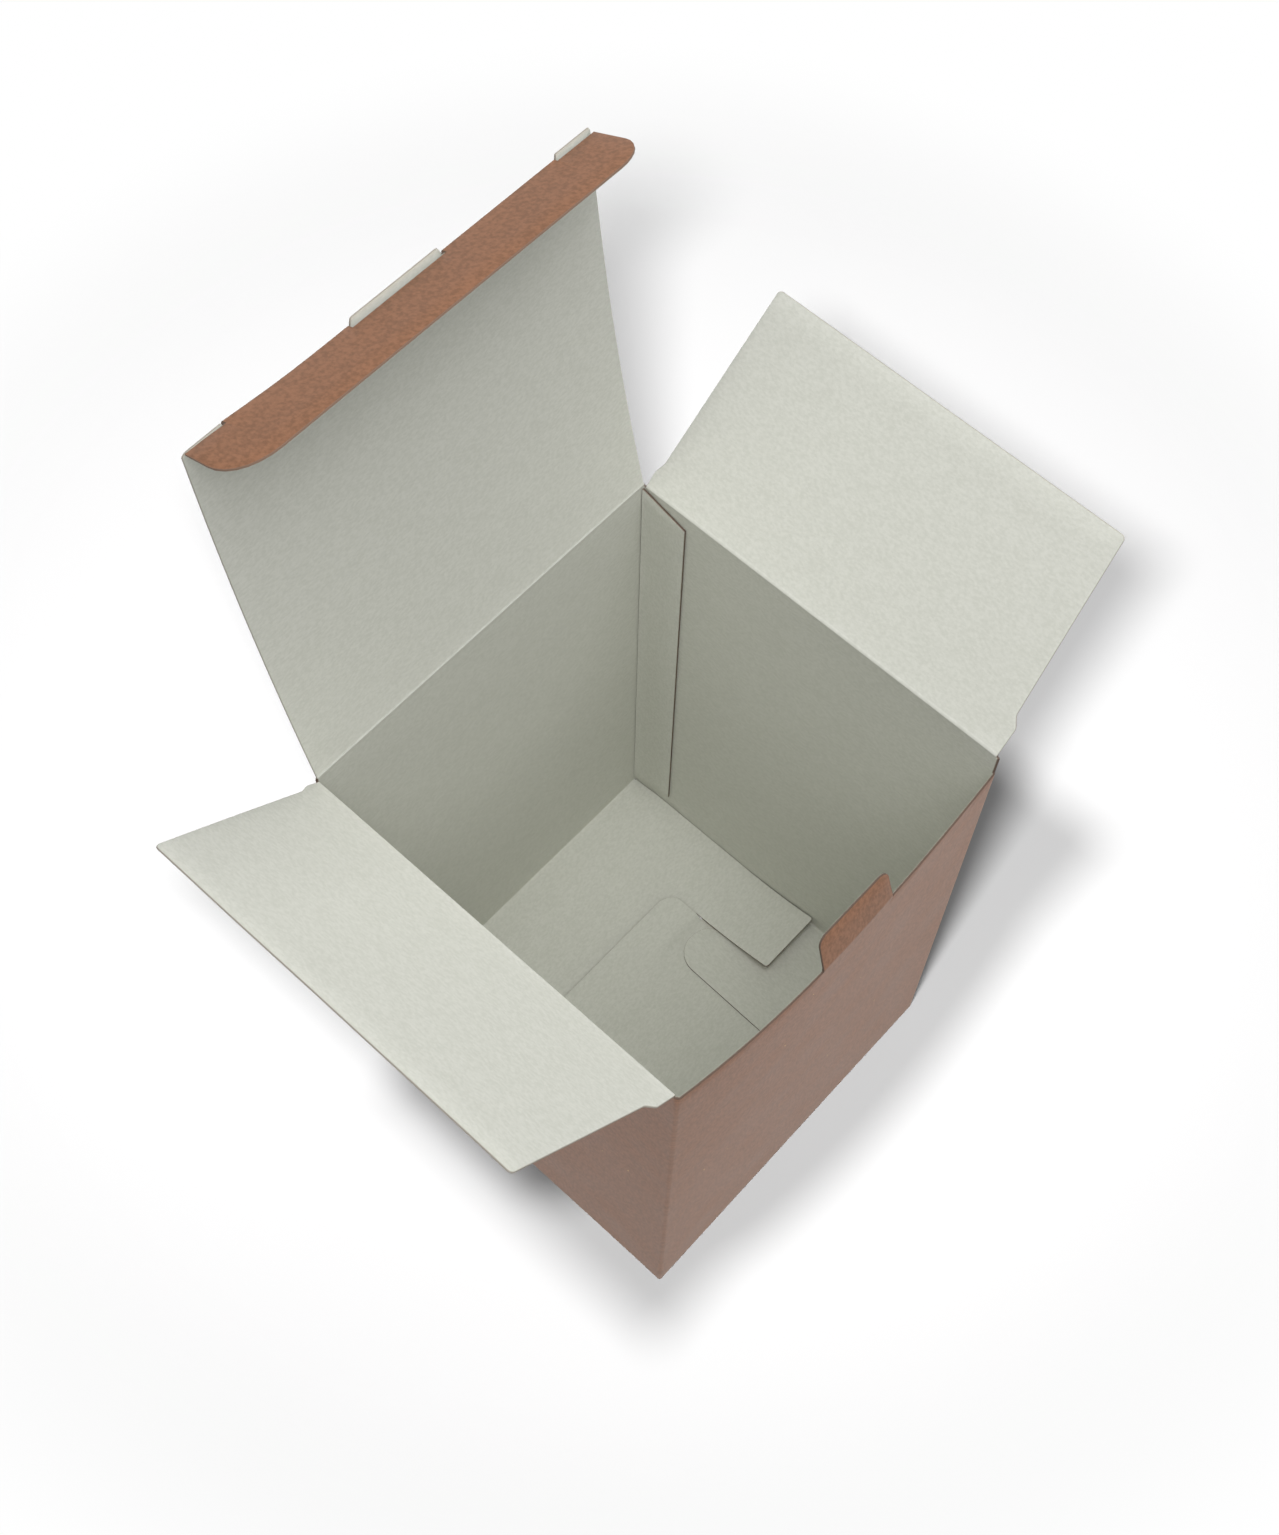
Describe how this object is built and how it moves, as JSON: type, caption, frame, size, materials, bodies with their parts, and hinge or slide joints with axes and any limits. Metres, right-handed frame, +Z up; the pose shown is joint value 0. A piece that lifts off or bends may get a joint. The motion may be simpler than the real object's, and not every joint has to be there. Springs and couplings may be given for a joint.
{
  "type": "mug gift box",
  "caption": "Square folding gift box for a mug, standing open, with a hinged lid, tuck flap, dust flaps, lock tab and folded snap-lock base.",
  "frame": {"origin": "middle of the underside of the base, on the plane that the box stands on", "axes": "+Z up, -Y towards the front wall with the lock tab, +X towards the right wall with the glued seam"},
  "size_m": [0.1764, 0.1196, 0.2506],
  "materials": {
    "copper_board": "satin",
    "pale_board": "matte",
    "glue": "satin"
  },
  "bodies": {
    "sleeve": {"back_wall": "copper_board", "left_wall": "copper_board", "front_wall": "copper_board", "right_wall": "copper_board", "glue_flap": "pale_board", "glue_film": "glue", "base_back_flap": "pale_board", "base_left_flap": "pale_board", "base_right_flap": "pale_board", "base_front_flap": "pale_board"},
    "lid": {"lid_panel": "pale_board"},
    "tuck": {"tuck_flap": "copper_board"},
    "left_flap": {"left_dust_flap": "pale_board"},
    "right_flap": {"right_dust_flap": "pale_board"},
    "lock_tab": {"front_lock_tab": "copper_board"}
  },
  "joints": [
    {"name": "lid_fold", "type": "hinge", "parent": "sleeve", "child": "lid", "pos_m": [0, 0.05, 0.14575], "axis": [1, 0, 0], "range_deg": [-101, 99]},
    {"name": "tuck_fold", "type": "hinge", "parent": "lid", "child": "tuck", "pos_m": [0, 0.06538, 0.24284], "axis": [1, 0, 0], "range_deg": [-24.5, 24]},
    {"name": "left_dust_fold", "type": "hinge", "parent": "sleeve", "child": "left_flap", "pos_m": [-0.05, 0, 0.145], "axis": [0, 1, 0], "range_deg": [-62.2, 140.2]},
    {"name": "right_dust_fold", "type": "hinge", "parent": "sleeve", "child": "right_flap", "pos_m": [0.05, 0, 0.145], "axis": [0, -1, 0], "range_deg": [-63.8, 137.6]},
    {"name": "lock_tab_fold", "type": "hinge", "parent": "sleeve", "child": "lock_tab", "pos_m": [0, -0.0535, 0.1449], "axis": [-1, 0, 0], "range_deg": [-17, 73]}
  ],
  "couplings": [
    {"joint": "tuck_fold", "follows": "lid_fold", "ratio": 0.24242}
  ]
}
